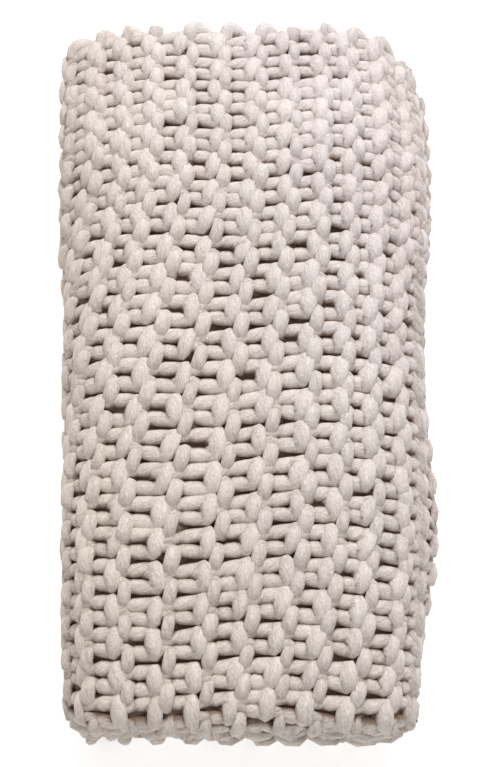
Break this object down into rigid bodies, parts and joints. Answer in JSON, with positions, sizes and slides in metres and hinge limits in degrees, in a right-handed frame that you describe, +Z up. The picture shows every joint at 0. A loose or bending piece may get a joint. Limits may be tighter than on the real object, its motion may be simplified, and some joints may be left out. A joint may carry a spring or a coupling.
{
  "type": "folded chunky knit throw blanket",
  "caption": "Chunky garter-stitch throw blanket, folded end to end and then back and forth into a flat soft pile that rests on a surface.",
  "frame": {"origin": "centre of the pile's bounding box, at the flat underside that it rests on", "axes": "+Z up; +Y along the pile, from the rolled near end to the far selvedges; +X to the right as seen from the near end"},
  "size_m": [0.3466, 0.637, 0.1771],
  "materials": {
    "yarn": "matte"
  },
  "bodies": {
    "root": {"blanket": "yarn"}
  },
  "joints": []
}
